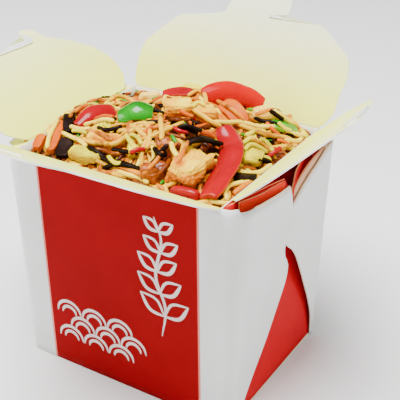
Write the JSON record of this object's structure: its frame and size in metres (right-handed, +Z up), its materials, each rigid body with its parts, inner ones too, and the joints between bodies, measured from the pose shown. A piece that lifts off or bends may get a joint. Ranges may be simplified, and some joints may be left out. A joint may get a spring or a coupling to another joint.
{
  "type": "noodle takeaway box",
  "caption": "Tapered paperboard takeaway box with folded side gussets and opened closure flaps, heaped with stir-fried noodles, chicken and vegetables.",
  "frame": {"origin": "centre of the carton's base, on the table", "axes": "+Z up out of the open top, -Y towards the printed front panel, +X and -X towards the folded gussets"},
  "size_m": [0.1701, 0.1547, 0.1476],
  "materials": {
    "board": "satin",
    "noodle": "moist",
    "chicken": "moist",
    "meat": "moist",
    "red_pepper": "glossy",
    "green_pepper": "glossy",
    "onion": "glossy",
    "carrot": "satin",
    "mushroom": "moist",
    "cabbage": "moist"
  },
  "bodies": {
    "box": {"carton": "board", "noodle_heap": "noodle", "pepper_strip_long": "red_pepper", "pepper_dome": "red_pepper", "pepper_wedge_left": "red_pepper", "green_pepper": "green_pepper", "mushroom_over_chicken": "mushroom", "chicken_large": "chicken", "chicken_middle": "chicken", "chicken_behind": "chicken", "carrot_under_dome": "carrot", "onion_left": "onion", "onion_right": "onion", "pepper_sliver_back": "red_pepper", "green_sliver_right": "green_pepper", "cabbage_right": "cabbage", "cabbage_front": "cabbage", "cabbage_middle": "cabbage", "cabbage_back": "cabbage", "tomato_front": "red_pepper", "carrot_left": "carrot", "carrot_corner": "carrot", "carrot_behind_pepper": "carrot", "mushroom_left": "mushroom", "mushroom_front": "mushroom", "mushroom_sliver_front": "mushroom", "mushroom_sliver_middle": "mushroom", "mushroom_right": "mushroom", "chicken_left": "chicken", "meat_front": "meat", "meat_middle": "meat", "meat_right": "meat"},
    "flap_back": {"flap_back": "board"},
    "flap_front": {"flap_front": "board"},
    "flap_left": {"flap_left": "board"},
    "flap_right": {"flap_right": "board"}
  },
  "joints": [
    {"name": "flap_back_crease", "type": "hinge", "parent": "box", "child": "flap_back", "pos_m": [0, 0.04085, 0.0998], "axis": [1, 0, 0], "range_deg": [-137, 16]},
    {"name": "flap_front_crease", "type": "hinge", "parent": "box", "child": "flap_front", "pos_m": [0, -0.04085, 0.0998], "axis": [-1, 0, 0], "range_deg": [-104, 49]},
    {"name": "flap_left_crease", "type": "hinge", "parent": "box", "child": "flap_left", "pos_m": [-0.04685, 0, 0.0998], "axis": [0, 1, 0], "range_deg": [-26, 44]},
    {"name": "flap_right_crease", "type": "hinge", "parent": "box", "child": "flap_right", "pos_m": [0.04685, 0, 0.0998], "axis": [0, -1, 0], "range_deg": [-33, 37]}
  ]
}
